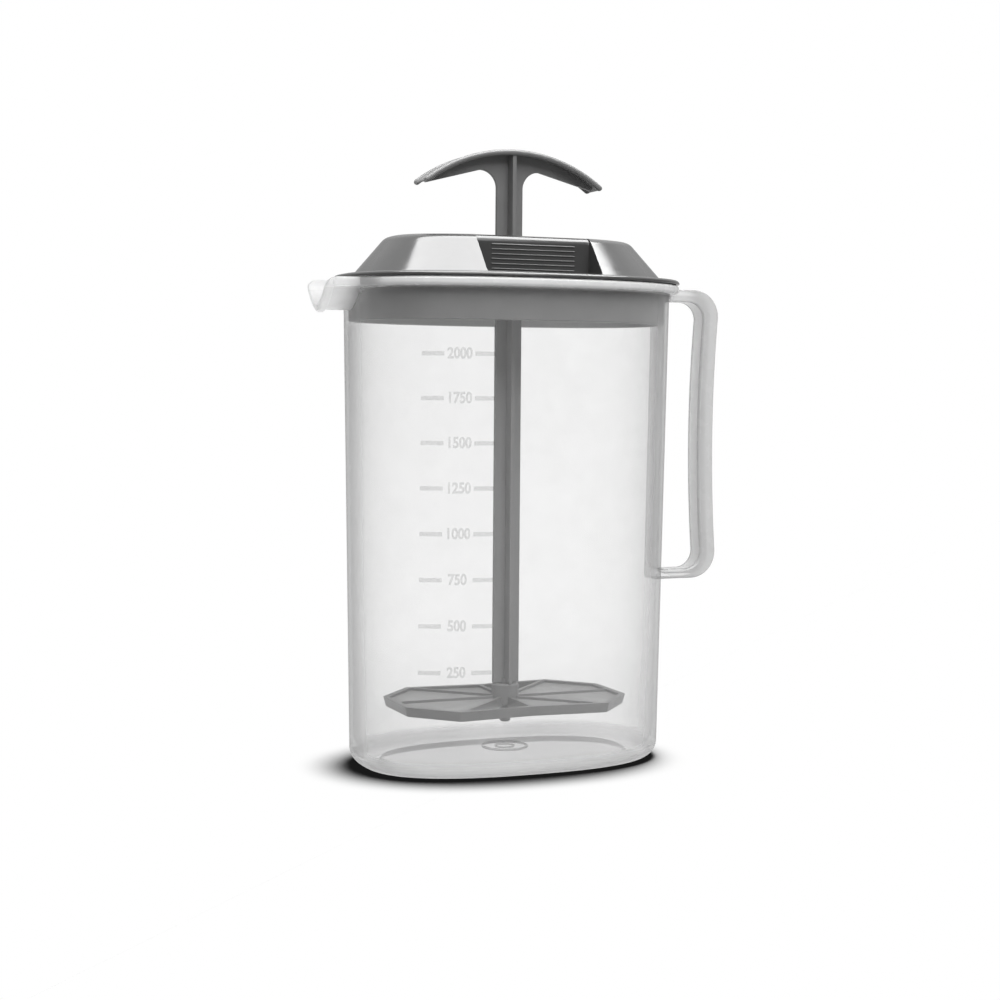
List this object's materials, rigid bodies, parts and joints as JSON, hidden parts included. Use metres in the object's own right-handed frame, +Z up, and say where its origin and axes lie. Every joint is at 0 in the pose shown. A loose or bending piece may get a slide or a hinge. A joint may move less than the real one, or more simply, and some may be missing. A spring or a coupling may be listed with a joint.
{
  "type": "quick stir pitcher",
  "caption": "Oval translucent pitcher with a spout and side handle, a domed lid with finger recesses, and a pull-up plunger that stirs with a spoked disc.",
  "frame": {"origin": "centre of the overall box at the level the foot ring stands on, mid-way between the spout's tip and the handle's outer face; the plunger's axis stands at X = -0.0079 m", "axes": "+Z up along the plunger, +X towards the side handle, -X towards the spout, -Y towards the front that carries the printed scale"},
  "size_m": [0.2034, 0.1086, 0.2874],
  "materials": {
    "frosted_polypropylene": "fine frosted, translucent",
    "frosted_handle": "frosted, milky where it is thick",
    "grey_polypropylene": "smooth satin",
    "grey_inner_parts": "smooth satin"
  },
  "bodies": {
    "pitcher": {"pitcher_body": "frosted_polypropylene", "side_handle": "frosted_handle"},
    "lid": {"lid_cover": "grey_polypropylene", "lid_skirt": "grey_polypropylene"},
    "plunger": {"plunger": "grey_inner_parts", "mixing_disc": "grey_inner_parts"}
  },
  "joints": [
    {"name": "lid_lift", "type": "slide", "parent": "pitcher", "child": "lid", "axis": [0, 0, 1], "range_m": [0, 0.225]},
    {"name": "plunger_slide", "type": "slide", "parent": "lid", "child": "plunger", "axis": [0, 0, 1], "range_m": [0, 0.196]}
  ]
}
